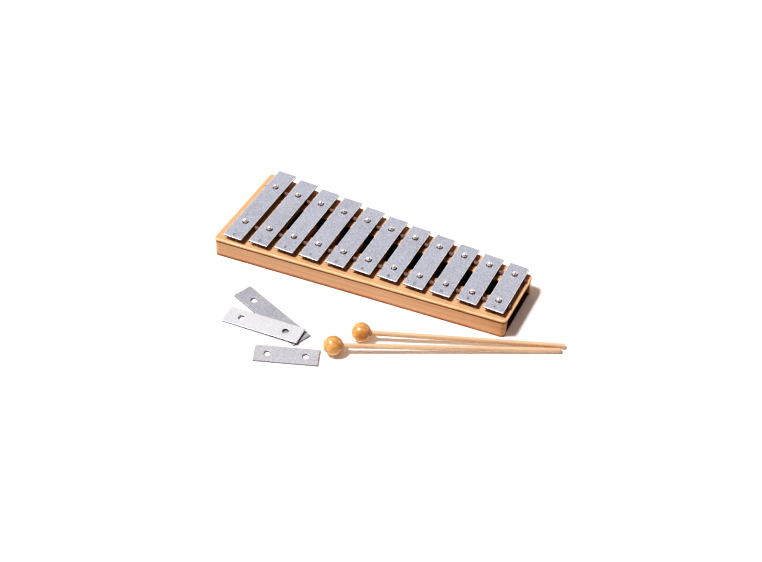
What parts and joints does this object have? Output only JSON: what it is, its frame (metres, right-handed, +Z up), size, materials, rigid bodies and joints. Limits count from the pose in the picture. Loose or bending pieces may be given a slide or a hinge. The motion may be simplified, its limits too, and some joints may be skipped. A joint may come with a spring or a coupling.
{
  "type": "glockenspiel set",
  "caption": "Tapered wooden resonator box with graded metal tone bars resting on soft cords over ball-headed pins, two wooden ball mallets and loose exchange bars.",
  "frame": {"origin": "centre of the flat underside of the resonator box, on the surface it stands on", "axes": "+X along the box from the long bars to the short bars, +Y from the player's side to the far side, +Z up"},
  "size_m": [0.4024, 0.2594, 0.035],
  "materials": {
    "top_plate": "satin varnished pale hardwood",
    "box_walls": "satin varnished hardwood",
    "box_inside": "dark stained softwood",
    "screws": "plain steel",
    "cords": "matt soft foam rubber",
    "pins": "polished plated steel",
    "bars": "satin anodised",
    "heads": "glossy amber varnish",
    "sticks": "bare pale wood"
  },
  "bodies": {
    "resonator": {"top_plate": "top_plate", "near_side_wall": "box_walls", "far_side_wall": "box_walls", "closed_end_wall": "box_walls", "bottom_board": "box_inside", "near_ledge_strip": "box_inside", "far_ledge_strip": "box_inside", "corner_blocks": "box_inside", "bottom_screws": "screws", "near_support_cord": "cords", "far_support_cord": "cords", "near_pins": "pins", "far_pins": "pins"},
    "bar_01": {"bar_01_c": "bars"},
    "bar_02": {"bar_02_d": "bars"},
    "bar_03": {"bar_03_e": "bars"},
    "bar_04": {"bar_04_f": "bars"},
    "bar_05": {"bar_05_g": "bars"},
    "bar_06": {"bar_06_a": "bars"},
    "bar_07": {"bar_07_b": "bars"},
    "bar_08": {"bar_08_c": "bars"},
    "bar_09": {"bar_09_d": "bars"},
    "bar_10": {"bar_10_e": "bars"},
    "bar_11": {"bar_11_f": "bars"},
    "spare_short": {"exchange_bar_short": "bars"},
    "spare_long": {"exchange_bar_long": "bars"},
    "spare_middle": {"exchange_bar_middle": "bars"},
    "front_mallet": {"front_mallet_head": "heads", "front_mallet_stick": "sticks"},
    "rear_mallet": {"rear_mallet_head": "heads", "rear_mallet_stick": "sticks"}
  },
  "joints": [
    {"name": "bar_01_lift", "type": "slide", "parent": "resonator", "child": "bar_01", "axis": [0, 0, 1], "range_m": [0, 0.03]},
    {"name": "bar_02_lift", "type": "slide", "parent": "resonator", "child": "bar_02", "axis": [0, 0, 1], "range_m": [0, 0.03]},
    {"name": "bar_03_lift", "type": "slide", "parent": "resonator", "child": "bar_03", "axis": [0, 0, 1], "range_m": [0, 0.03]},
    {"name": "bar_04_lift", "type": "slide", "parent": "resonator", "child": "bar_04", "axis": [0, 0, 1], "range_m": [0, 0.03]},
    {"name": "bar_05_lift", "type": "slide", "parent": "resonator", "child": "bar_05", "axis": [0, 0, 1], "range_m": [0, 0.03]},
    {"name": "bar_06_lift", "type": "slide", "parent": "resonator", "child": "bar_06", "axis": [0, 0, 1], "range_m": [0, 0.03]},
    {"name": "bar_07_lift", "type": "slide", "parent": "resonator", "child": "bar_07", "axis": [0, 0, 1], "range_m": [0, 0.03]},
    {"name": "bar_08_lift", "type": "slide", "parent": "resonator", "child": "bar_08", "axis": [0, 0, 1], "range_m": [0, 0.03]},
    {"name": "bar_09_lift", "type": "slide", "parent": "resonator", "child": "bar_09", "axis": [0, 0, 1], "range_m": [0, 0.03]},
    {"name": "bar_10_lift", "type": "slide", "parent": "resonator", "child": "bar_10", "axis": [0, 0, 1], "range_m": [0, 0.03]},
    {"name": "bar_11_lift", "type": "slide", "parent": "resonator", "child": "bar_11", "axis": [0, 0, 1], "range_m": [0, 0.03]},
    {"name": "spare_short_lift", "type": "slide", "parent": "resonator", "child": "spare_short", "axis": [0, 0, 1], "range_m": [0, 0.05]},
    {"name": "spare_long_lift", "type": "slide", "parent": "resonator", "child": "spare_long", "axis": [0, 0, 1], "range_m": [0, 0.05]},
    {"name": "spare_middle_lift", "type": "slide", "parent": "spare_long", "child": "spare_middle", "axis": [0, 0, 1], "range_m": [0, 0.05]},
    {"name": "front_mallet_lift", "type": "slide", "parent": "resonator", "child": "front_mallet", "axis": [0, 0, 1], "range_m": [0, 0.1]},
    {"name": "rear_mallet_lift", "type": "slide", "parent": "resonator", "child": "rear_mallet", "axis": [0, 0, 1], "range_m": [0, 0.1]}
  ]
}
